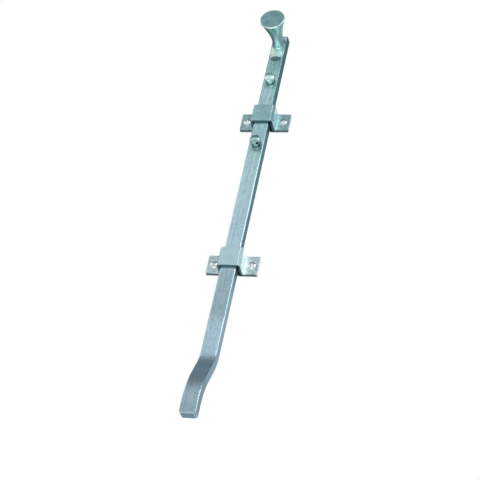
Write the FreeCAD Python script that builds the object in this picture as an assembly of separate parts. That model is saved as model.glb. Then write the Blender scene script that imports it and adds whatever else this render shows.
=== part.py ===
"""Cane bolt for a gate or door leaf: a cranked flat bar that slides in two bent strap guides.

Millimetres. The bolt hangs upright, as it is used: +Z up along the bar to the pull knob, +X across the
bar, +Y into the gate. The gate's face is the plane y = 0, and the origin lies on it, at the centre of the
four screws.
"""
import FreeCAD, Part
import math
import os

V = FreeCAD.Vector

# ---------------------------------------------------------------- driving dimensions
# The bar
BAR_W = 16.0             # width of the flat bar
BAR_T = 10.0             # thickness of the flat bar
BAR_BACK = 6.0           # room between the gate's face and the bar's back
BAR_EDGE_R = 1.2         # rounding along the bar's edges
KNOB_TO_TOP = 11.8       # knob's centre to the bar's top end
GUIDE_TO_CRANK = 115.6   # lower guide's centre to the first bend
CRANK_OFFSET = 21.0      # how far the foot of the bar stands out
CRANK_ANGLE = 27.5       # slope of the crank, degrees from the bar
UPPER_BEND_R = 42.0      # bend radii on the bar's centreline
LOWER_BEND_R = 70.0
FOOT_LENGTH = 30.0       # second bend to the tip
TIP_CHAMFER_X = 2.0      # chamfers of the tip: across, up the sides, and on front and back
TIP_CHAMFER_Z = 2.4
TIP_CHAMFER_Y = 0.8

# The guides
GUIDE_PITCH = 182.0      # between the two guides
GUIDE_HEIGHT = 21.5      # along the bar
GUIDE_WIDTH = 51.4       # over both ears
STRAP_T = 2.5            # strap thickness
STRAP_BEND_R = 1.0       # inner bend radius of the strap
EAR_CORNER_R = 1.0       # corners of the ears
SIDE_GAP = 1.1           # bar to each leg of a guide
FRONT_GAP = 0.3          # bar to the bridge of a guide

# The springs behind the bar
SPRING_T = 1.0
SPRING_GAP = 0.1         # crest to the bar's back
SPRING_CREST = 6.0       # width of the crest that the bar rides on
SPRING_ROOT = 14.4       # width of the arch at its foot
SPRING_BEND_R = 1.2

# The wood screws
SCREW_PITCH = 38.0       # between the two screws of a guide
SCREW_D = 4.2
SCREW_LENGTH = 16.0      # from the ear's front to the point
SCREW_PLAIN = 3.0        # plain shank, from the gate's face
SCREW_POINT = 3.5
SCREW_HEAD_D = 8.2
SCREW_DOME = 1.1         # height of the raised head
THREAD_PITCH = 1.6
THREAD_DEPTH = 0.55
THREAD_FLANK = 0.35      # share of the pitch that each flank takes
CROSS_SPAN = 4.6         # the cross recess
CROSS_SLOT = 1.1
CROSS_DEPTH = 1.9
CROSS_BOTTOM = 0.35      # width of the recess at its bottom, as a share of its span
SCREW_SHOULDER = 0.1     # how much wider its neck is than its shank, in radius
SCREW_CLEARANCE = 0.2    # shank to its hole, in radius
SINK_GAP = 0.1           # head to its countersink, in radius
SCREW_TURN = 37.0        # each screw stops this much further round than the last, degrees

# The stops
TRAVEL_DOWN = 30.0       # from the position shown
TRAVEL_UP = 24.4
STUD_HEIGHT = 8.7
STUD_NECK_D = 8.6
STUD_HEAD_D = 11.1
STUD_HEAD_T = 3.4
STUD_CROWN = 0.9         # how far the head's face bulges
STUD_CENTRE_R = 0.4      # flat left in the middle of the head by the lathe
STUD_LIP_R = 0.7
TENON_D = 5.0
TENON_FLARE_D = 7.4      # the tenon's spread end, in the bar's back
TENON_FLARE_T = 1.2

# The knob and its screw
STUD_TO_KNOB = 52.9      # upper stud to the knob's centre
KNOB_HEIGHT = 38.3
KNOB_HEAD_D = 25.8
KNOB_RIM_T = 2.0
KNOB_RIM_R = 0.8
KNOB_UNDER_RIM = 0.4     # chamfer behind the rim
KNOB_FOOT_D = 14.4
KNOB_FOOT_T = 1.2
KNOB_FOOT_CHAMFER = 0.5
KNOB_WAIST_D = 12.0
KNOB_WAIST_AT = 9.5      # height of the waist above the bar
KNOB_FLARE = ((0.69, 0.60), (0.31, 0.17))  # from waist to rim: share of the way, share of the widening
KNOB_SCREW_D = 6.0
KNOB_SCREW_GRIP = 12.0   # thread in the knob
KNOB_BORE_SPARE = 1.0    # how much deeper the knob is bored
KNOB_SCREW_END = 0.8     # chamfer at the screw's end
KNOB_SCREW_HEAD_D = 11.0
KNOB_SCREW_SOCKET = 4.0  # across the flats of its hexagon socket
KNOB_SCREW_SOCKET_T = 2.4

# The stamp below the knob
STAMP_BELOW_KNOB = 20.8
STAMP_W = 10.5
STAMP_H = 6.4
STAMP_DEPTH = 0.4
STAMP_RIBS = 5
STAMP_RIB_W = 0.7
STAMP_RIB_SHARE = 0.72   # height of a rib, as a share of the oval there

FIT = 0.03               # radial clearance of a pin or thread in its hole
PAST = 1.0               # how far a cutter reaches past what it cuts

# ---------------------------------------------------------------- places worked out from them
bar_back = -BAR_BACK
bar_front = -(BAR_BACK + BAR_T)
ear_back = -SPRING_T
ear_front = -(SPRING_T + STRAP_T)
bridge_back = bar_front - FRONT_GAP
bridge_front = bridge_back - STRAP_T
upper_guide_z = GUIDE_PITCH / 2
lower_guide_z = -GUIDE_PITCH / 2
stop_reach = GUIDE_HEIGHT / 2 + STUD_NECK_D / 2
upper_stud_z = upper_guide_z + stop_reach + TRAVEL_DOWN
lower_stud_z = upper_guide_z - stop_reach - TRAVEL_UP
knob_z = upper_stud_z + STUD_TO_KNOB
stamp_z = knob_z - STAMP_BELOW_KNOB
bar_top = knob_z + KNOB_TO_TOP
crank_slope = math.radians(CRANK_ANGLE)
upper_bend_z = lower_guide_z - GUIDE_TO_CRANK
lower_bend_z = upper_bend_z - CRANK_OFFSET / math.tan(crank_slope)
bar_tip = lower_bend_z - FOOT_LENGTH


# ---------------------------------------------------------------- small helpers
def rounded_outline(corners):
    """A closed face from corners (point, radius): straight sides, with an arc at each radius over 0."""
    arcs = []
    count = len(corners)
    for i, (corner, radius) in enumerate(corners):
        to_last = (corners[i - 1][0] - corner).normalize()
        to_next = (corners[(i + 1) % count][0] - corner).normalize()
        half = to_last.getAngle(to_next) / 2
        if radius <= 0:
            arcs.append((corner, None, corner))
            continue
        reach = radius / math.tan(half)
        middle = (to_last + to_next).normalize() * (radius / math.sin(half) - radius)
        arcs.append((corner + to_last * reach, corner + middle, corner + to_next * reach))
    edges = []
    for i, (start, middle, end) in enumerate(arcs):
        if middle is not None:
            edges.append(Part.Arc(start, middle, end).toShape())
        next_start = arcs[(i + 1) % count][0]
        if (next_start - end).Length > 1e-6:
            edges.append(Part.LineSegment(end, next_start).toShape())
    return Part.Face(Part.Wire(edges))


def turned(edges, z):
    """A solid turned from a closed outline of edges in (radius, y) about an axis along Y at height z."""
    face = Part.Face(Part.Wire(edges))
    solid = face.revolve(V(0, 0, 0), V(0, 1, 0), 360)
    solid.translate(V(0, 0, z))
    return solid


def crown(edge_r, edge_y, rise, flat_r=0.0):
    """The arc of a domed face that rises by rise from (edge_r, edge_y), cut off by a flat middle of flat_r."""
    ball_r = (edge_r ** 2 + rise ** 2) / (2 * rise)
    ball_y = edge_y - rise + ball_r
    start = math.asin(flat_r / ball_r)
    end = math.asin(edge_r / ball_r)
    places = []
    for angle in (start, (start + end) / 2, end):
        places.append(V(ball_r * math.sin(angle), ball_y - ball_r * math.cos(angle), 0))
    return Part.Arc(*places).toShape()


def rounding(start_r, start_y, radius):
    """A quarter arc that leaves a face at (start_r, start_y) and turns back along the side."""
    turn = radius * math.sqrt(0.5)
    middle = V(start_r + turn, start_y + radius - turn, 0)
    return Part.Arc(V(start_r, start_y, 0), middle, V(start_r + radius, start_y + radius, 0)).toShape()


def straights(points):
    """Straight edges through points (radius, y)."""
    corners = [V(r, y, 0) for r, y in points]
    return [Part.LineSegment(a, b).toShape() for a, b in zip(corners, corners[1:])]


def peg(radius, y_from, y_to, x=0.0, z=0.0):
    """A round peg along Y."""
    return Part.makeCylinder(radius, y_to - y_from, V(x, y_from, z), V(0, 1, 0))


def cone(r_from, r_to, y_from, y_to, x=0.0, z=0.0):
    """A cone along Y, from one radius to the other."""
    return Part.makeCone(r_from, r_to, y_to - y_from, V(x, y_from, z), V(0, 1, 0))


# ---------------------------------------------------------------- the sliding pieces
def bar_side_outline():
    """The bar seen from its side, in the plane x = 0: straight, cranked outward, and straight again."""
    mitre = BAR_T / 2 * math.tan(crank_slope / 2)
    foot_back = bar_back - CRANK_OFFSET
    foot_front = bar_front - CRANK_OFFSET
    chamfer = TIP_CHAMFER_Y
    return rounded_outline([
        (V(0, bar_back, bar_top), 0.0),
        (V(0, bar_front, bar_top), 0.0),
        (V(0, bar_front, upper_bend_z + mitre), UPPER_BEND_R - BAR_T / 2),
        (V(0, foot_front, lower_bend_z + mitre), LOWER_BEND_R + BAR_T / 2),
        (V(0, foot_front, bar_tip + chamfer), 0.0),
        (V(0, foot_front + chamfer, bar_tip), 0.0),
        (V(0, foot_back - chamfer, bar_tip), 0.0),
        (V(0, foot_back, bar_tip + chamfer), 0.0),
        (V(0, foot_back, lower_bend_z - mitre), LOWER_BEND_R - BAR_T / 2),
        (V(0, bar_back, upper_bend_z - mitre), UPPER_BEND_R + BAR_T / 2),
    ])


def bar_front_outline():
    """The bar seen from the front, with its tip's corners cut."""
    half = BAR_W / 2
    return rounded_outline([
        (V(-half, 0, bar_top), BAR_EDGE_R),
        (V(half, 0, bar_top), BAR_EDGE_R),
        (V(half, 0, bar_tip + TIP_CHAMFER_Z), 0.0),
        (V(half - TIP_CHAMFER_X, 0, bar_tip), 0.0),
        (V(-half + TIP_CHAMFER_X, 0, bar_tip), 0.0),
        (V(-half, 0, bar_tip + TIP_CHAMFER_Z), 0.0),
    ])


def is_long_edge(edge):
    """True for the edges that run down the bar's sides, from the top end to the tip's chamfer."""
    box = edge.BoundBox
    on_side = abs(abs(box.Center.x) - BAR_W / 2) < 1e-4 and box.XLength < 1e-4
    return on_side and box.ZLength > TIP_CHAMFER_Y + 1e-4 and box.ZMin > bar_tip + 1e-4


def stamp_cutter():
    """The oval stamp's recess, less the plain upright ribs that stand in it."""
    oval = Part.Ellipse(V(0, 0, 0), max(STAMP_W, STAMP_H) / 2, min(STAMP_W, STAMP_H) / 2)
    face = Part.Face(Part.Wire([oval.toShape()]))
    if STAMP_H > STAMP_W:
        face.rotate(V(0, 0, 0), V(0, 0, 1), 90)
    face.rotate(V(0, 0, 0), V(1, 0, 0), 90)
    face.translate(V(0, bar_front + STAMP_DEPTH, stamp_z))
    recess = face.extrude(V(0, -2 * STAMP_DEPTH, 0))
    step = STAMP_W / (STAMP_RIBS + 1)
    for i in range(STAMP_RIBS):
        x = step * (i - (STAMP_RIBS - 1) / 2)
        height = STAMP_H * STAMP_RIB_SHARE * math.sqrt(1 - (2 * x / STAMP_W) ** 2)
        corner = V(x - STAMP_RIB_W / 2, bar_front - STAMP_DEPTH, stamp_z - height / 2)
        recess = recess.cut(Part.makeBox(STAMP_RIB_W, 2 * STAMP_DEPTH, height, corner))
    return recess


def make_bolt_bar():
    side = bar_side_outline()
    side.translate(V(-BAR_W / 2, 0, 0))
    depth = BAR_BACK + BAR_T + CRANK_OFFSET + PAST
    bar = side.extrude(V(BAR_W, 0, 0)).common(bar_front_outline().extrude(V(0, -depth, 0)))
    bar = bar.makeFillet(BAR_EDGE_R, [edge for edge in bar.Edges if is_long_edge(edge)])
    head_r = KNOB_SCREW_HEAD_D / 2 + SINK_GAP
    shank_r = KNOB_SCREW_D / 2 + FIT
    bar = bar.cut(peg(shank_r, bar_front - PAST, bar_back + PAST, z=knob_z))
    bar = bar.cut(cone(shank_r, head_r, bar_back - (head_r - shank_r), bar_back, z=knob_z))
    tenon_r = TENON_D / 2 + FIT
    flare_r = TENON_FLARE_D / 2 + FIT
    for z in (upper_stud_z, lower_stud_z):
        bar = bar.cut(peg(tenon_r, bar_front - PAST, bar_back + PAST, z=z))
        bar = bar.cut(cone(tenon_r, flare_r, bar_back - TENON_FLARE_T, bar_back, z=z))
    return bar.cut(stamp_cutter())


def make_stop_stud(z):
    """A mushroom stop: head and neck stand in front of the bar, and a tenon is spread in its back."""
    neck = STUD_NECK_D / 2
    head = STUD_HEAD_D / 2
    tenon = TENON_D / 2
    face_y = bar_front - STUD_HEIGHT
    lip_y = face_y + STUD_CROWN
    under_y = face_y + STUD_HEAD_T
    dome = crown(head - STUD_LIP_R, lip_y, STUD_CROWN, STUD_CENTRE_R)
    centre_y = dome.valueAt(dome.FirstParameter).y
    edges = [
        dome,
        rounding(head - STUD_LIP_R, lip_y, STUD_LIP_R),
    ]
    edges += straights([
        (head, lip_y + STUD_LIP_R),
        (head, under_y - STUD_LIP_R),
        (neck, under_y),
        (neck, bar_front),
        (tenon, bar_front),
        (tenon, bar_back - TENON_FLARE_T),
        (TENON_FLARE_D / 2, bar_back),
        (0.0, bar_back),
        (0.0, centre_y),
        (STUD_CENTRE_R, centre_y),
    ])
    return turned(edges, z)


def make_pull_knob():
    """A trumpet knob: a foot on the bar, a waist, and a flare to the flat head."""
    foot = KNOB_FOOT_D / 2
    waist = KNOB_WAIST_D / 2
    head = KNOB_HEAD_D / 2
    bore = KNOB_SCREW_D / 2 + FIT
    face_y = bar_front - KNOB_HEIGHT
    under_y = face_y + KNOB_RIM_T
    foot_y = bar_front - KNOB_FOOT_T
    waist_y = bar_front - KNOB_WAIST_AT
    bore_y = bar_front - KNOB_SCREW_GRIP - KNOB_BORE_SPARE
    neck = head - KNOB_UNDER_RIM
    flare = [V(neck, under_y, 0)]
    for along, out in KNOB_FLARE:
        flare.append(V(waist + out * (neck - waist), waist_y + along * (under_y - waist_y), 0))
    flare.append(V(waist, waist_y, 0))
    flare.append(V(foot - KNOB_FOOT_CHAMFER, foot_y, 0))
    curve = Part.BSplineCurve()
    curve.interpolate(flare)
    edges = straights([(0.0, bore_y), (0.0, face_y), (head - KNOB_RIM_R, face_y)])
    edges.append(rounding(head - KNOB_RIM_R, face_y, KNOB_RIM_R))
    edges += straights([(head, face_y + KNOB_RIM_R), (head, under_y - KNOB_UNDER_RIM), (neck, under_y)])
    edges.append(curve.toShape())
    edges += straights([
        (foot - KNOB_FOOT_CHAMFER, foot_y),
        (foot, foot_y + KNOB_FOOT_CHAMFER),
        (foot, bar_front),
        (bore, bar_front),
        (bore, bore_y),
        (0.0, bore_y),
    ])
    return turned(edges, knob_z)


def make_knob_screw():
    """The countersunk screw that holds the knob, put in from the bar's back."""
    shank = KNOB_SCREW_D / 2
    head = KNOB_SCREW_HEAD_D / 2
    end_y = bar_front - KNOB_SCREW_GRIP
    screw = turned(straights([
        (0.0, bar_back),
        (head, bar_back),
        (shank, bar_back - (head - shank)),
        (shank, end_y + KNOB_SCREW_END),
        (shank - KNOB_SCREW_END, end_y),
        (0.0, end_y),
        (0.0, bar_back),
    ]), knob_z)
    corner_r = KNOB_SCREW_SOCKET / 2 / math.cos(math.radians(30))
    hexagon = []
    for i in range(6):
        angle = math.radians(60 * i)
        corner = V(corner_r * math.cos(angle), bar_back, knob_z + corner_r * math.sin(angle))
        hexagon.append((corner, 0.0))
    return screw.cut(rounded_outline(hexagon).extrude(V(0, -KNOB_SCREW_SOCKET_T, 0)))


# ---------------------------------------------------------------- the fixed pieces
def across(points, z, height):
    """A prism along Z, middled on z, from right-hand corners (x, y, radius) mirrored to the left."""
    right = [(V(x, y, z - height / 2), r) for x, y, r in points]
    left = [(V(-p.x, p.y, p.z), r) for p, r in reversed(right)]
    return rounded_outline(right + left).extrude(V(0, 0, height))


def round_ear_corners(solid, y_low, y_high, z):
    """Rounds the four corners of the two ears, as seen from the front."""
    def is_corner(edge):
        box = edge.BoundBox
        at_end = abs(abs(box.Center.x) - GUIDE_WIDTH / 2) < 1e-4
        at_top = abs(abs(box.Center.z - z) - GUIDE_HEIGHT / 2) < 1e-4
        return at_end and at_top and abs(box.YLength - (y_high - y_low)) < 1e-4
    return solid.makeFillet(EAR_CORNER_R, [edge for edge in solid.Edges if is_corner(edge)])


def make_guide(z):
    """A strap bent over the bar, with an ear and a countersunk hole either side."""
    inside = BAR_W / 2 + SIDE_GAP
    outside = inside + STRAP_T
    outer_r = STRAP_BEND_R + STRAP_T
    strap = across([
        (inside, bridge_back, STRAP_BEND_R),
        (inside, ear_back, outer_r),
        (GUIDE_WIDTH / 2, ear_back, 0.0),
        (GUIDE_WIDTH / 2, ear_front, 0.0),
        (outside, ear_front, STRAP_BEND_R),
        (outside, bridge_front, outer_r),
    ], z, GUIDE_HEIGHT)
    strap = round_ear_corners(strap, ear_front, ear_back, z)
    shank_r = SCREW_D / 2 + SCREW_CLEARANCE
    sink_r = SCREW_HEAD_D / 2 + SINK_GAP
    for x in (-SCREW_PITCH / 2, SCREW_PITCH / 2):
        strap = strap.cut(peg(shank_r, ear_front - PAST, ear_back + PAST, x, z))
        strap = strap.cut(cone(sink_r, shank_r, ear_front, ear_front + sink_r - shank_r, x, z))
    return strap


def make_spring(z):
    """A spring strip behind a guide: its ends lie under the ears, and its arch bears on the bar's back."""
    crest_front = bar_back + SPRING_GAP
    crest_back = crest_front + SPRING_T
    run = (SPRING_ROOT - SPRING_CREST) / 2
    rise = -crest_back
    slant = SPRING_T * math.tan(math.atan2(rise, run) / 2)
    outer_r = SPRING_BEND_R + SPRING_T
    strip = across([
        (SPRING_CREST / 2, crest_back, SPRING_BEND_R),
        (SPRING_ROOT / 2, 0.0, outer_r),
        (GUIDE_WIDTH / 2, 0.0, 0.0),
        (GUIDE_WIDTH / 2, -SPRING_T, 0.0),
        (SPRING_ROOT / 2 + slant, -SPRING_T, SPRING_BEND_R),
        (SPRING_CREST / 2 + slant, crest_front, outer_r),
    ], z, GUIDE_HEIGHT)
    strip = round_ear_corners(strip, -SPRING_T, 0.0, z)
    for x in (-SCREW_PITCH / 2, SCREW_PITCH / 2):
        strip = strip.cut(peg(SCREW_D / 2 + SCREW_CLEARANCE, ear_back - PAST, PAST, x, z))
    return strip


def cross_cutter():
    """The cross recess of a screw at the origin: two tapered slots, deepest in the middle."""
    top = ear_front - SCREW_DOME
    half = CROSS_SPAN / 2
    half_bottom = half * CROSS_BOTTOM
    bottom = top + CROSS_DEPTH
    above = top - PAST
    slot = Part.Face(Part.makePolygon([
        V(-half, above, 0),
        V(half, above, 0),
        V(half, top, 0),
        V(half_bottom, bottom, 0),
        V(-half_bottom, bottom, 0),
        V(-half, top, 0),
        V(-half, above, 0),
    ]))
    slot.translate(V(0, 0, -CROSS_SLOT / 2))
    blade = slot.extrude(V(0, 0, CROSS_SLOT))
    other = blade.copy()
    other.rotate(V(0, 0, 0), V(0, 1, 0), 90)
    return blade.fuse(other)


def make_wood_screw(x, z, turn):
    """A raised countersunk wood screw with a ringed shank, turned by turn degrees."""
    shank = SCREW_D / 2
    head = SCREW_HEAD_D / 2
    neck = shank + SCREW_SHOULDER
    neck_y = ear_front + head - neck
    point_y = ear_front + SCREW_LENGTH
    taper_y = point_y - SCREW_POINT
    core = shank - THREAD_DEPTH
    flank = THREAD_FLANK * THREAD_PITCH
    y = SCREW_PLAIN
    points = [(head, ear_front), (neck, neck_y), (shank, 0.0), (shank, y)]
    while y + THREAD_PITCH <= taper_y:
        points += [(core, y + flank), (core, y + THREAD_PITCH - flank), (shank, y + THREAD_PITCH)]
        y += THREAD_PITCH
    points += [(core, y + flank), (0.0, point_y), (0.0, ear_front - SCREW_DOME)]
    screw = turned(straights(points) + [crown(head, ear_front, SCREW_DOME)], 0.0).cut(cross_cutter())
    screw.rotate(V(0, 0, 0), V(0, 1, 0), turn)
    screw.translate(V(x, 0, z))
    return screw


# ---------------------------------------------------------------- the assembly
pieces = {
    "bolt_bar": make_bolt_bar(),
    "pull_knob": make_pull_knob(),
    "knob_screw": make_knob_screw(),
    "upper_stop_stud": make_stop_stud(upper_stud_z),
    "lower_stop_stud": make_stop_stud(lower_stud_z),
}
for level, guide_z in (("upper", upper_guide_z), ("lower", lower_guide_z)):
    pieces[level + "_guide"] = make_guide(guide_z)
    pieces[level + "_spring"] = make_spring(guide_z)
    for side, sign in (("left", -1), ("right", 1)):
        turn = SCREW_TURN * len(pieces)
        pieces[level + "_" + side + "_screw"] = make_wood_screw(sign * SCREW_PITCH / 2, guide_z, turn)

os.makedirs("parts", exist_ok=True)
for name, shape in pieces.items():
    shape.exportStep("parts/" + name + ".step")
    box = shape.BoundBox
    print(name, "valid", shape.isValid(), "solids", len(shape.Solids), "volume", round(shape.Volume, 1),
          "z", round(box.ZMin, 2), round(box.ZMax, 2), "y", round(box.YMin, 2), round(box.YMax, 2))
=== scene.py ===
"""Looks of the cane bolt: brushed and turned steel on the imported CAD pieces, a plain studio and a camera."""
import math

import bpy
from mathutils import Matrix, Vector


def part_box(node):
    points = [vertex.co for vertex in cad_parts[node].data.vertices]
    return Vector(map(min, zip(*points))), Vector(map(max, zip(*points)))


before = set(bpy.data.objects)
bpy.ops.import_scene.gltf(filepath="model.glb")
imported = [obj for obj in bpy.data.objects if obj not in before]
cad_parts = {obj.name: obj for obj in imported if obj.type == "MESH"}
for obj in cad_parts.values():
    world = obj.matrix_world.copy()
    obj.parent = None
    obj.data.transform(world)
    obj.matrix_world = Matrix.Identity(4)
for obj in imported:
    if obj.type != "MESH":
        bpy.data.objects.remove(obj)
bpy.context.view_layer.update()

MM = 0.001


# ---------------------------------------------------------------- places read from the frame
def middle(node):
    low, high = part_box(node)
    return (low + high) / 2


bar_low, bar_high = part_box("bolt_bar")
bar_half = (bar_high.x - bar_low.x) / 2
bar_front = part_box("pull_knob")[1].y        # the knob's foot stands on it
knob_z = middle("pull_knob").z
knob_r = (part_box("pull_knob")[1].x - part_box("pull_knob")[0].x) / 2
upper_stud_z = middle("upper_stop_stud").z
lower_stud_z = middle("lower_stop_stud").z
stud_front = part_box("lower_stop_stud")[0].y
upper_guide_z = middle("upper_guide").z
lower_guide_z = middle("lower_guide").z
guide_half = (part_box("upper_guide")[1].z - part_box("upper_guide")[0].z) / 2
screw_x = middle("upper_right_screw").x
screw_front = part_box("upper_right_screw")[0].y


def above_tip(*heights):
    """Heights in millimetres above the bar's lower end, as places on Z."""
    return [bar_low.z + height * MM for height in heights]


# ---------------------------------------------------------------- node helpers
class Nodes:
    """Adds nodes to a tree. All but node() return the new node's output socket."""

    def __init__(self, tree):
        self.tree = tree

    def node(self, kind, inputs=None, **settings):
        made = self.tree.nodes.new(kind)
        for key, value in settings.items():
            setattr(made, key, value)
        for key, value in (inputs or {}).items():
            socket = made.inputs[key]
            if isinstance(value, bpy.types.NodeSocket):
                self.tree.links.new(value, socket)
            else:
                socket.default_value = value
        return made

    def maths(self, operation, a, b=0.0):
        return self.node("ShaderNodeMath", {0: a, 1: b}, operation=operation).outputs[0]

    def product(self, first, *others):
        for other in others:
            first = self.maths("MULTIPLY", first, other)
        return first

    def distance(self, value, place):
        """How far a coordinate is from a place on its axis."""
        return self.maths("ABSOLUTE", self.maths("SUBTRACT", value, place))

    def hypotenuse(self, a, b):
        return self.maths("SQRT", self.maths("ADD", self.product(a, a), self.product(b, b)))

    def spread(self, value, low, high, to_low=0.0, to_high=1.0, smooth=False):
        """Maps value from one range to another, and stops at its ends."""
        kind = "SMOOTHSTEP" if smooth else "LINEAR"
        return self.node("ShaderNodeMapRange", {"Value": value, "From Min": low, "From Max": high,
                                                "To Min": to_low, "To Max": to_high},
                         interpolation_type=kind, clamp=True).outputs[0]

    def blend(self, share, a, b):
        """Colour a at share 0 and colour b at share 1."""
        return self.node("ShaderNodeMix", {0: share, 6: a, 7: b}, data_type="RGBA").outputs[2]


class Shader(Nodes):
    """One material. Its colour starts as one tint, and lay() puts others over it."""

    def __init__(self, name):
        self.material = bpy.data.materials.new(name)
        self.material.use_nodes = True
        super().__init__(self.material.node_tree)
        self.principled = self.tree.nodes["Principled BSDF"]
        self.place = self.node("ShaderNodeTexCoord").outputs["Object"]
        self.colour = None

    def axes(self):
        """The place's x, y and z, in metres."""
        return self.node("ShaderNodeSeparateXYZ", {0: self.place}).outputs

    def normal(self):
        """The true normal's x, y and z."""
        geometry = self.node("ShaderNodeNewGeometry")
        return self.node("ShaderNodeSeparateXYZ", {0: geometry.outputs["True Normal"]}).outputs

    def radius(self, z):
        """Distance from a line along Y at x = 0 and height z."""
        x, _, up = self.axes()
        return self.hypotenuse(x, self.maths("SUBTRACT", up, z))

    def marks(self, scale, detail=3.0, roughness=0.55, offset=(0, 0, 0), place=None):
        """Noise between 0 and 1. Its scale is marks per metre along each axis."""
        where = self.node("ShaderNodeMapping", {"Vector": place or self.place, "Location": offset,
                                                "Scale": scale}).outputs[0]
        return self.node("ShaderNodeTexNoise", {"Vector": where, "Scale": 1.0, "Detail": detail,
                                                "Roughness": roughness}).outputs["Fac"]

    def patches(self, scale):
        """Broad soft patches, 0 to 1."""
        return self.spread(self.marks(scale, detail=2.0), 0.35, 0.65)

    def lay(self, tint, share):
        """Puts a tint over the colour so far: none of it at share 0, nothing else at share 1."""
        self.colour = self.blend(share, self.colour, tint)

    def bump(self, height, depth, strength, under=None):
        """Relief of a depth in metres, on top of the relief under it."""
        inputs = {"Height": height, "Distance": depth, "Strength": strength}
        if under is not None:
            inputs["Normal"] = under
        return self.node("ShaderNodeBump", inputs).outputs[0]

    def steel(self, roughness, relief, grazing=None):
        """Finishes a metal. Grazing is what a grazing view keeps of the light."""
        for key, socket in (("Base Color", self.colour), ("Roughness", roughness), ("Normal", relief)):
            self.tree.links.new(socket, self.principled.inputs[key])
        self.principled.inputs["Metallic"].default_value = 1.0
        if grazing is not None:
            self.principled.inputs["Specular Tint"].default_value = grazing
        return self.material


def rgba(r, g, b):
    return (r, g, b, 1.0)


def dress(material, *nodes):
    """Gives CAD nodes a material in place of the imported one."""
    for name in nodes:
        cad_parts[name].data.materials.clear()
        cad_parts[name].data.materials.append(material)


# ---------------------------------------------------------------- values used by several materials
# Dark colour for dirt in the bar's grain, and also for painted shade on the bar, round the feet, on the
# guides' ears and in the screws' recesses.
DIRT_AND_SHADE = rgba(0.10, 0.16, 0.16)
SCUFF = rgba(0.62, 0.80, 0.84)
NOISE_SPAN = (0.3, 0.7)     # most of a noise's values lie between these


# ---------------------------------------------------------------- bar
TEAL = rgba(0.37, 0.59, 0.61)
BLUE_GREY = rgba(0.43, 0.59, 0.69)
PALE_PATCH = rgba(0.9, 0.95, 1.0)
DARK_STROKE = rgba(0.1, 0.14, 0.15)
# Painted light: the crank's slope is painted a lighter blue.
SLOPE_PAINTED_LIGHT = rgba(0.55, 0.78, 1.0)
# Painted reflection of the knob: the bar is painted pale under it.
PAINTED_KNOB_REFLECTION = rgba(0.85, 1.0, 0.92)
# Painted light and shade on the bar's narrow sides: lighter low, darker high.
SIDE_LIT_LOW = rgba(0.53, 0.67, 0.76)
SIDE_SHADED_HIGH = rgba(0.23, 0.35, 0.39)
EDGE_LOW = rgba(0.58, 0.77, 0.87)       # worn bright, like the streaks; on the lower edges it is also a painted highlight
# Painted shade on the upper edges.
EDGE_SHADED_HIGH = rgba(0.2, 0.36, 0.4)
STAMP_INK = rgba(0.055, 0.095, 0.09)
BAR_GRAZING = rgba(0.26, 0.31, 0.35)

SHADOW_BELOW_GUIDE = 42 * MM              # middle of the painted shadow of the lower guide, under it
SHADOW_REACH = 38 * MM
SIDE_SHIFT = 55 * MM                    # how far under the lower guide the side's painted shade starts
EDGE_SHIFT = 60 * MM                    # and how far under the lower stud the edge's painted highlight starts to turn to painted shade
# Where the darker foot and the painted light on the crank's slope come in or fade, in millimetres above the
# tip.
FOOT_DARKER = (44, 54)
SLOPE_START = (34, 54)
SLOPE_FADE = (50, 72)
SLOPE_END = (70, 80)
KNOB_PATCH_R = (14 * MM, 21 * MM)       # the painted reflection of the knob, a pale patch under it: full inside, gone outside
KNOB_PATCH_DROP = 6 * MM
# What stands on the bar: the radius of its foot, and how much painted shade the bar gets round it.
FEET = {"upper_stop_stud": (4.3 * MM, 0.7), "lower_stop_stud": (4.3 * MM, 0.7), "pull_knob": (7.2 * MM, 0.2)}
FOOT_SHADE_REACH = 1.8 * MM
FRONT_SKIN = 0.3 * MM                   # depth that counts as the bar's front
STAMP_FROM = (0.05 * MM, 0.2 * MM)      # depths between which the stamp's ink comes in
STAMP_UNTIL = (0.6 * MM, 0.8 * MM)      # and goes, so that bores stay clean
STAMP_MARGIN = (1.6 * MM, 1.4 * MM)     # bar's side to the stamp's field, clear of the rounded edges
# How far a face is turned to the side: 0 for the front, 1 for the side.
EDGE_FROM = (0.12, 0.35)
EDGE_UNTIL = (0.9, 0.99)
SIDE_FROM = (0.85, 0.99)
END_FACE = (-0.95, -0.8)                # how far the tip's end face is turned up: it looks down
BAR_ROUGHNESS = (0.30, 0.46)
EDGE_POLISH = 0.14                      # how much smoother the worn edges are
BAR_GRAIN_DEPTH = 0.04 * MM
BAR_STROKE_DEPTH = 0.12 * MM


def linish(s, z, strokes):
    """The ground faces: blue-grey low, teal high, with patches, mottle, dark strokes and bright streaks."""
    mottle = s.marks((420, 420, 260), detail=4.0, roughness=0.7, offset=(1, 8, 2))
    streaks = s.marks((1500, 1500, 11), detail=2.0, offset=(6, 4, 1))
    tint = s.blend(s.spread(z, lower_guide_z, upper_guide_z, smooth=True), BLUE_GREY, TEAL)
    s.colour = tint
    s.lay(s.blend(0.35, tint, PALE_PATCH), s.product(s.patches((40, 40, 18)), 0.4))
    s.lay(SCUFF, s.spread(mottle, 0.50, 0.72, 0.0, 0.45))
    s.lay(DIRT_AND_SHADE, s.spread(mottle, 0.30, 0.48, 0.35, 0.0))
    s.lay(s.blend(0.5, tint, DARK_STROKE), s.spread(strokes, 0.42, 0.72, 0.0, 0.45))
    s.lay(EDGE_LOW, s.spread(streaks, 0.58, 0.72, 0.0, 0.5))


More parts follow.
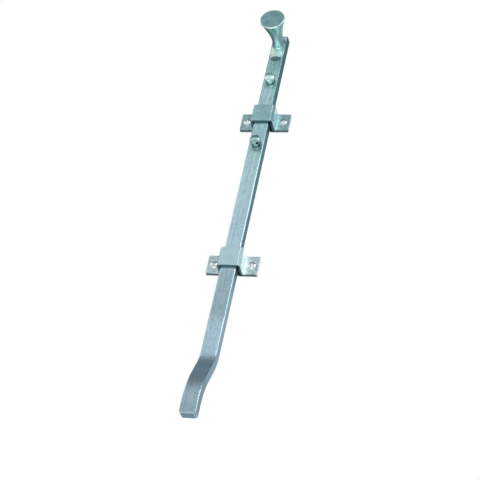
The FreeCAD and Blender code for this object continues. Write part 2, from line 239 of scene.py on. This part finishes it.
def shade_stretches(s, z, nz):
    """Painted shadow under the lower guide, painted light on the crank's slope, darker on the foot, painted
    shade on the end face, and a painted reflection of the knob under it.
    """
    # Painted shadow of the lower guide on the bar under it.
    from_shadow = s.distance(z, lower_guide_z - SHADOW_BELOW_GUIDE)
    s.lay(DIRT_AND_SHADE, s.spread(from_shadow, SHADOW_REACH / 2, SHADOW_REACH, 0.35, 0.0, smooth=True))
    # Darker towards the foot.
    s.lay(DIRT_AND_SHADE, s.spread(z, *above_tip(*FOOT_DARKER), 0.3, 0.0))
    # Painted light on the crank's slope.
    slope = s.product(s.spread(z, *above_tip(*SLOPE_START), smooth=True),
                      s.spread(z, *above_tip(*SLOPE_FADE), 0.9, 0.2, smooth=True),
                      s.spread(z, *above_tip(*SLOPE_END), 1.0, 0.0))
    s.lay(SLOPE_PAINTED_LIGHT, slope)
    # Painted shade on the end face, which looks down.
    s.lay(DIRT_AND_SHADE, s.spread(nz, *END_FACE, 0.3, 0.0))
    # Painted reflection of the knob, a pale patch under it.
    near_knob = s.spread(s.radius(knob_z), *KNOB_PATCH_R, 1.0, 0.0, smooth=True)
    s.lay(PAINTED_KNOB_REFLECTION, s.product(near_knob, s.spread(z, knob_z - KNOB_PATCH_DROP, knob_z, 1.0, 0.0)))


def shade_sides(s, z, across, edge, strokes):
    """The narrow sides, painted light low and shade high, then the worn edges between them and the wide faces,
    painted as a highlight low and shade high.
    """
    # Painted light low and painted shade high on the narrow sides.
    low_to_high = s.spread(z, lower_guide_z - SIDE_SHIFT, lower_guide_z, smooth=True)
    s.lay(s.blend(low_to_high, SIDE_LIT_LOW, SIDE_SHADED_HIGH), s.spread(across, *SIDE_FROM, 0.0, 0.92))
    # Worn edges, painted bright low as a highlight and dark high as shade.
    low_to_high = s.spread(z, lower_stud_z - EDGE_SHIFT, upper_guide_z)
    worn = s.product(edge, s.spread(strokes, 0.25, 0.5, 0.55, 1.0))
    s.lay(s.blend(low_to_high, EDGE_LOW, EDGE_SHADED_HIGH), worn)


def shade_round_feet(s, y):
    """Painted contact shade on the bar's front round the foot of each stud and of the knob."""
    on_front = s.spread(y, bar_front, bar_front + FRONT_SKIN, 1.0, 0.0)
    for node, (foot_r, most) in FEET.items():
        # Painted shade round each foot.
        contact_shade = s.spread(s.radius(middle(node).z), foot_r, foot_r + FOOT_SHADE_REACH, most, 0.0, smooth=True)
        s.lay(DIRT_AND_SHADE, s.product(contact_shade, on_front))


def ink_stamp(s, x, y, z):
    """Darkens the sunk stamp: within the front's width, above the upper stud, and not in a bore."""
    sunk = s.spread(y, *[bar_front + depth for depth in STAMP_FROM])
    on_face = s.spread(s.maths("ABSOLUTE", x), *[bar_half - margin for margin in STAMP_MARGIN], 1.0, 0.0)
    above_stud = s.spread(z, upper_stud_z, upper_stud_z + 1 * MM)
    not_bored = s.spread(y, *[bar_front + depth for depth in STAMP_UNTIL], 1.0, 0.0)
    s.lay(STAMP_INK, s.product(sunk, on_face, above_stud, not_bored))


def bar_steel():
    """Linished flat bar: grain along it, worn edges, a dark stamp, painted shade round what it carries, and
    painted light and shade in stretches along it.
    """
    s = Shader("bar_steel")
    x, y, z = s.axes()
    nx, _, nz = s.normal()
    across = s.maths("ABSOLUTE", nx)
    edge = s.product(s.spread(across, *EDGE_FROM), s.spread(across, *EDGE_UNTIL, 1.0, 0.0))
    grain = s.marks((2600, 2600, 90), detail=4.0, roughness=0.7)
    strokes = s.marks((900, 900, 14), offset=(3, 1, 7))
    linish(s, z, strokes)
    shade_stretches(s, z, nz)
    shade_sides(s, z, across, edge, strokes)
    shade_round_feet(s, y)
    ink_stamp(s, x, y, z)
    rough = s.maths("SUBTRACT", s.spread(grain, *NOISE_SPAN, *BAR_ROUGHNESS), s.product(edge, EDGE_POLISH))
    fine = s.bump(grain, BAR_GRAIN_DEPTH, 0.55)
    return s.steel(rough, s.bump(strokes, BAR_STROKE_DEPTH, 0.3, fine), BAR_GRAZING)


# ---------------------------------------------------------------- knob and studs
# Painted highlight on the knob's rim.
RIM_HIGHLIGHT = rgba(0.88, 1.0, 1.0)
BLACK_SPOT = rgba(0.004, 0.010, 0.012)
TURNED_GRAZING = rgba(0.35, 0.48, 0.48)
RING_PITCH = 0.22 * MM          # the tool's rings
RING_DEPTH = 0.03 * MM
BANDS_PER_RING = 0.12
TURNED_ROUGHNESS = (0.26, 0.4)
FOOT_SHADE_HEIGHT = (2.6 * MM, 0.8 * MM)     # heights over the bar where the painted shade on a foot begins and is full
RIM_WIDTH = (0.6 * MM, 0.2 * MM)            # inside the rim: where its painted highlight begins and is full
FACE_FORWARD = (0.985, 0.999)               # how straight the flat face looks forward
BLACK_SPOT_R = (1.9 * MM, 2.3 * MM)


def turned_steel(name, z, light, dark, face=None, rim_r=None, foot_shade=0.0, black_spot=None):
    """Steel turned about an axis along Y at height z, with tool rings. It can have a duller flat face of two
    tints, a painted highlight on the rim at a radius, painted shade on its foot and a black spot painted at a
    place."""
    s = Shader(name)
    y = s.axes()[1]
    around = s.node("ShaderNodeCombineXYZ", {0: s.radius(z), 1: y, 2: 0.0}).outputs[0]
    ring_scale = 1 / RING_PITCH
    band_scale = BANDS_PER_RING / RING_PITCH
    rings = s.marks((ring_scale, ring_scale, 1), roughness=0.6, place=around)
    bands = s.marks((band_scale, band_scale, 1), detail=2.0, place=around)
    s.colour = s.blend(s.spread(bands, *NOISE_SPAN), dark, light)
    s.lay(light, s.product(s.patches((160, 160, 160)), 0.35))
    # Painted shade on the foot, where it meets the bar.
    if foot_shade:
        s.lay(DIRT_AND_SHADE, s.spread(y, *[bar_front - height for height in FOOT_SHADE_HEIGHT], 0.0, foot_shade))
    # Painted highlight on the rim.
    if rim_r is not None:
        s.lay(RIM_HIGHLIGHT, s.spread(s.radius(z), *[rim_r - width for width in RIM_WIDTH], 0.0, 0.9))
    if face is not None:
        forward = s.product(s.normal()[1], -1.0)
        mottle = s.spread(s.marks((130, 130, 130), detail=5.0), 0.35, 0.65)
        s.lay(s.blend(mottle, *face), s.spread(forward, *FACE_FORWARD))
    # A black spot painted at a given place.
    if black_spot is not None:
        away = s.node("ShaderNodeVectorMath", {0: s.place, 1: black_spot}, operation="DISTANCE").outputs["Value"]
        s.lay(BLACK_SPOT, s.spread(away, *BLACK_SPOT_R, 1.0, 0.0, smooth=True))
    rough = s.spread(rings, *NOISE_SPAN, *TURNED_ROUGHNESS)
    return s.steel(rough, s.bump(rings, RING_DEPTH, 0.45), TURNED_GRAZING)


# ---------------------------------------------------------------- guides
# Painted light on the strip's back faces.
STRAP_BACK_LIGHT = rgba(0.58, 0.73, 0.76)
SHEARED_AND_SHADED = rgba(0.07, 0.13, 0.14)
LEG_REACH = 4.0 * MM            # the right leg's painted reflection reaches this far beside the bar
LEG_FADE = 6.0 * MM
EAR_FROM = (8 * MM, 12 * MM)    # behind the bar's front: where the ears' painted shade begins and is full
LEG_FACE = (0.75, 0.97)         # how far a face is turned to the right
BACK_FACE = (0.3, 0.8)          # and to the back
SHEARED_WIDTH = (0.12 * MM, 0.02 * MM)      # from the strip's edge: where its look begins and is full
STRAP_ROUGHNESS = (0.24, 0.42)
STRAP_GRAIN_DEPTH = 0.04 * MM
STRAP_SCUFF_DEPTH = 0.06 * MM


def strap_steel(name, z, light, dark, leg, ear_tint):
    """Bent strip: grain along it, scuffs, painted shade on the ears, a painted reflection on the right leg,
    painted light on the back faces, and darker sheared edges with painted shade on them.
    """
    s = Shader(name)
    x, y, up = s.axes()
    nx, ny, _ = s.normal()
    grain = s.marks((120, 120, 2400), detail=4.0, roughness=0.65)
    scuffs = s.marks((700, 700, 420), detail=5.0, roughness=0.75, offset=(5, 2, 9))
    mottle = s.marks((300, 300, 300), detail=5.0, roughness=0.75, offset=(2, 7, 3))
    s.colour = s.blend(s.patches((70, 70, 70)), dark, light)
    s.lay(SCUFF, s.spread(scuffs, 0.52, 0.72, 0.0, 0.5))
    # Painted reflection on the right leg, reaching onto the ear beside it.
    root = bar_high.x + LEG_REACH
    at_root = s.product(s.spread(x, 0.0, root), s.spread(x, root, root + LEG_FADE, 1.0, 0.0))
    # Painted shade on the ears, with the right leg's painted reflection running onto the ear beside it.
    ear_colour = s.blend(at_root, s.blend(s.spread(mottle, *NOISE_SPAN), DIRT_AND_SHADE, ear_tint), leg)
    s.lay(ear_colour, s.product(s.spread(y, *[bar_front + depth for depth in EAR_FROM]), 0.75))
    # Painted reflection on the right leg's face.
    s.lay(leg, s.spread(nx, *LEG_FACE, 0.0, 0.9))
    # Painted light on the back faces.
    s.lay(STRAP_BACK_LIGHT, s.spread(ny, *BACK_FACE, 0.0, 0.7))
    # Darker sheared edges, with painted shade on the strip's end faces.
    s.lay(SHEARED_AND_SHADED, s.spread(s.distance(up, z), *[guide_half - width for width in SHEARED_WIDTH]))
    rough = s.spread(grain, *NOISE_SPAN, *STRAP_ROUGHNESS)
    fine = s.bump(grain, STRAP_GRAIN_DEPTH, 0.45)
    return s.steel(rough, s.bump(scuffs, STRAP_SCUFF_DEPTH, 0.35, fine))


# ---------------------------------------------------------------- screws and springs
PLATING = (rgba(0.84, 0.96, 0.97), rgba(0.96, 1.0, 1.0))
PLATING_ROUGHNESS = (0.20, 0.34)
RECESS_R = (2.0 * MM, 2.4 * MM)
RECESS_FROM = (0.45 * MM, 0.7 * MM)     # behind the top of the head
TEMPERED = (rgba(0.31, 0.37, 0.42), rgba(0.40, 0.42, 0.42))
TEMPERED_ROUGHNESS = (0.34, 0.52)
FINE_DEPTH = 0.03 * MM


def screw_steel():
    """Bright plated steel with painted shade in the cross recess."""
    s = Shader("screw_steel")
    x, y, z = s.axes()
    speckle = s.marks((1500, 1500, 1500), detail=4.0, roughness=0.7)
    s.colour = s.blend(s.patches((500, 500, 500)), *PLATING)
    beside = s.maths("SUBTRACT", s.maths("ABSOLUTE", x), screw_x)
    above = s.maths("MINIMUM", s.distance(z, upper_guide_z), s.distance(z, lower_guide_z))
    recess = s.product(s.spread(s.hypotenuse(beside, above), *RECESS_R, 1.0, 0.0),
                       s.spread(y, *[screw_front + depth for depth in RECESS_FROM]))
    # Painted shade in the cross recess.
    s.lay(DIRT_AND_SHADE, s.product(recess, 0.15))
    return s.steel(s.spread(speckle, *NOISE_SPAN, *PLATING_ROUGHNESS), s.bump(speckle, FINE_DEPTH, 0.4))


def spring_steel():
    """Dull tempered strip with a blue-grey bloom."""
    s = Shader("spring_steel")
    grain = s.marks((100, 100, 2000), detail=4.0)
    s.colour = s.blend(s.patches((120, 120, 60)), *TEMPERED)
    return s.steel(s.spread(grain, *NOISE_SPAN, *TEMPERED_ROUGHNESS), s.bump(grain, FINE_DEPTH, 0.5))


# ---------------------------------------------------------------- dressing
KNOB_LIGHT = rgba(0.37, 0.57, 0.58)
KNOB_DARK = rgba(0.28, 0.48, 0.50)
KNOB_FACE = (rgba(0.17, 0.34, 0.37), rgba(0.26, 0.45, 0.46))
# Painted light and shade: the studs are the same steel, and the upper one is painted lighter than the lower
# one.
UPPER_STUD_LIGHT = rgba(0.64, 0.85, 0.84)
UPPER_STUD_DARK = rgba(0.52, 0.72, 0.72)
LOWER_STUD_LIGHT = rgba(0.38, 0.57, 0.59)
LOWER_STUD_DARK = rgba(0.29, 0.46, 0.48)
# Where the black spot is painted on the lower stud: at the lower right of its head.
LOWER_STUD_BLACK_SPOT = (2.8 * MM, stud_front + 3.0 * MM, lower_stud_z - 4.0 * MM)
# Painted light and shade: the guides are the same strip, and the upper one is painted darker than the lower
# one. Each leg tint is a painted reflection, and each ear tint is painted shade.
UPPER_GUIDE_TINTS = {"light": rgba(0.28, 0.46, 0.48), "dark": rgba(0.24, 0.41, 0.42),
                     "leg": rgba(0.54, 0.76, 0.83), "ear_tint": rgba(0.38, 0.56, 0.62)}
LOWER_GUIDE_TINTS = {"light": rgba(0.44, 0.58, 0.65), "dark": rgba(0.37, 0.53, 0.57),
                     "leg": rgba(0.90, 0.99, 1.0), "ear_tint": rgba(0.62, 0.78, 0.82)}


def dress_all():
    dress(bar_steel(), "bolt_bar")
    dress(turned_steel("knob_steel", knob_z, KNOB_LIGHT, KNOB_DARK, face=KNOB_FACE, rim_r=knob_r),
          "pull_knob")
    dress(turned_steel("upper_stud_steel", upper_stud_z, UPPER_STUD_LIGHT, UPPER_STUD_DARK, foot_shade=0.7),
          "upper_stop_stud")
    dress(turned_steel("lower_stud_steel", lower_stud_z, LOWER_STUD_LIGHT, LOWER_STUD_DARK, foot_shade=0.8,
                       black_spot=LOWER_STUD_BLACK_SPOT), "lower_stop_stud")
    dress(strap_steel("upper_guide_steel", upper_guide_z, **UPPER_GUIDE_TINTS), "upper_guide")
    dress(strap_steel("lower_guide_steel", lower_guide_z, **LOWER_GUIDE_TINTS), "lower_guide")
    wood_screws = [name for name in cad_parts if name.endswith(("left_screw", "right_screw"))]
    dress(screw_steel(), "knob_screw", *wood_screws)
    dress(spring_steel(), "upper_spring", "lower_spring")


# ---------------------------------------------------------------- studio
FLOOR_Z = -1.3
FLOOR_HALF = 6.0
FLOOR_TINTS = (rgba(0.80, 0.81, 0.82), rgba(0.86, 0.86, 0.86))
FLOOR_GLOW = 0.35
FLOOR_ROUGHNESS = 0.8

ROOM_COLOUR = rgba(0.94, 1.0, 1.0)
ROOM_LIGHT = 0.55
# Shades of the room: a direction, the cosines where the shade starts and is full, and how much it adds.
ROOM_SHADES = (
    ((0, 0, 1), 0.46, 0.80, -0.38),
    ((0, 0, -1), 0.45, 0.95, 0.40),
    ((-0.7, 0.7, 0), 0.45, 0.95, -0.30),
)
WHITE = (1, 1, 1)
# Soft lights, in metres: place, width, height, brightness and colour. A brightness of 1 reflects as white.
SOFTBOXES = {
    "front_box": ((-0.62, -1.10, 0.84), 1.3, 0.80, 0.72, WHITE),
    "front_right_box": ((0.43, -1.23, 0.94), 0.55, 0.55, 3.0, WHITE),
    "right_box": ((1.25, -0.42, 0.55), 0.7, 0.8, 1.5, (0.90, 0.97, 1.0)),
    "left_box": ((-1.15, -0.15, 0.85), 0.8, 0.5, 1.2, WHITE),
    "leg_box": ((0.42, 1.20, 0.85), 0.8, 0.6, 0.85, (0.92, 0.97, 1.0)),
    "back_box": ((0.0, 1.60, 0.10), 1.2, 0.7, 0.9, WHITE),
    "front_low_box": ((-0.10, -1.20, -0.95), 2.4, 0.8, 2.1, WHITE),
    "back_low_box": ((0.0, 1.15, -0.85), 1.4, 0.5, 0.4, WHITE),
}


def add(name, data):
    """A new object in the scene."""
    made = bpy.data.objects.new(name, data)
    bpy.context.scene.collection.objects.link(made)
    return made


def make_floor():
    """A wide pale floor, well below the hanging bolt."""
    mesh = bpy.data.meshes.new("floor")
    corners = ((-1, -1), (1, -1), (1, 1), (-1, 1))
    places = [(x * FLOOR_HALF, y * FLOOR_HALF, FLOOR_Z) for x, y in corners]
    mesh.from_pydata(places, [], [(0, 1, 2, 3)])
    floor = add("floor", mesh)
    s = Shader("floor_paint")
    tone = s.blend(s.patches((3, 3, 3)), *FLOOR_TINTS)
    for key in ("Base Color", "Emission Color"):
        s.tree.links.new(tone, s.principled.inputs[key])
    s.principled.inputs["Emission Strength"].default_value = FLOOR_GLOW
    s.principled.inputs["Roughness"].default_value = FLOOR_ROUGHNESS
    mesh.materials.append(s.material)


def make_world():
    """A pale room: white to the eye, and in what the steel reflects, dim overhead and at the back left."""
    world = bpy.data.worlds.new("studio")
    bpy.context.scene.world = world
    world.use_nodes = True
    world.node_tree.nodes.clear()
    w = Nodes(world.node_tree)
    direction = w.node("ShaderNodeTexCoord").outputs["Generated"]
    strength = ROOM_LIGHT
    for towards, start, full, change in ROOM_SHADES:
        cosine = w.node("ShaderNodeVectorMath", {0: direction, 1: Vector(towards).normalized()},
                        operation="DOT_PRODUCT").outputs["Value"]
        strength = w.maths("ADD", strength, w.spread(cosine, start, full, 0.0, change, smooth=True))
    lit = w.node("ShaderNodeBackground", {"Color": ROOM_COLOUR, "Strength": strength}).outputs[0]
    seen = w.node("ShaderNodeBackground", {"Color": rgba(*WHITE)}).outputs[0]
    by_camera = w.node("ShaderNodeLightPath").outputs["Is Camera Ray"]
    mixed = w.node("ShaderNodeMixShader", {0: by_camera, 1: lit, 2: seen}).outputs[0]
    w.node("ShaderNodeOutputWorld", {"Surface": mixed})


def make_softbox(name, place, width, height, brightness, colour):
    """An area light at a place, turned to the bolt's middle."""
    data = bpy.data.lights.new(name, "AREA")
    data.shape = "RECTANGLE"
    data.size = width
    data.size_y = height
    data.energy = brightness * math.pi * width * height
    data.color = colour
    light = add(name, data)
    light.location = place
    to_bolt = Vector((0, 0, (bar_low.z + bar_high.z) / 2)) - light.location
    light.rotation_euler = to_bolt.to_track_quat("-Z", "Y").to_euler()
    light.visible_camera = False


# ---------------------------------------------------------------- camera
CAMERA_AZIMUTH = 19.34      # degrees, seen from the right of the bolt
CAMERA_ELEVATION = -34.92   # and from below
CAMERA_ROLL = -12.74        # the picture leans
CAMERA_DISTANCE = 1.5895
CAMERA_SENSOR = 36.0        # mm
CAMERA_LENS = 122.5         # mm
CAMERA_AIM = Vector((0.0029, -0.008, -0.0639))


def make_camera():
    data = bpy.data.cameras.new("camera")
    data.lens = CAMERA_LENS
    data.sensor_width = CAMERA_SENSOR
    camera = add("camera", data)
    azimuth, elevation = math.radians(CAMERA_AZIMUTH), math.radians(CAMERA_ELEVATION)
    back = Vector((math.sin(azimuth) * math.cos(elevation), -math.cos(azimuth) * math.cos(elevation),
                   math.sin(elevation)))
    turn = (-back).to_track_quat("-Z", "Y").to_matrix() @ Matrix.Rotation(math.radians(-CAMERA_ROLL), 3, "Z")
    camera.matrix_world = Matrix.Translation(CAMERA_AIM + back * CAMERA_DISTANCE) @ turn.to_4x4()
    bpy.context.scene.camera = camera


dress_all()
make_floor()
make_world()
for name, light in SOFTBOXES.items():
    make_softbox(name, *light)
make_camera()
bpy.context.scene.view_settings.view_transform = "Standard"
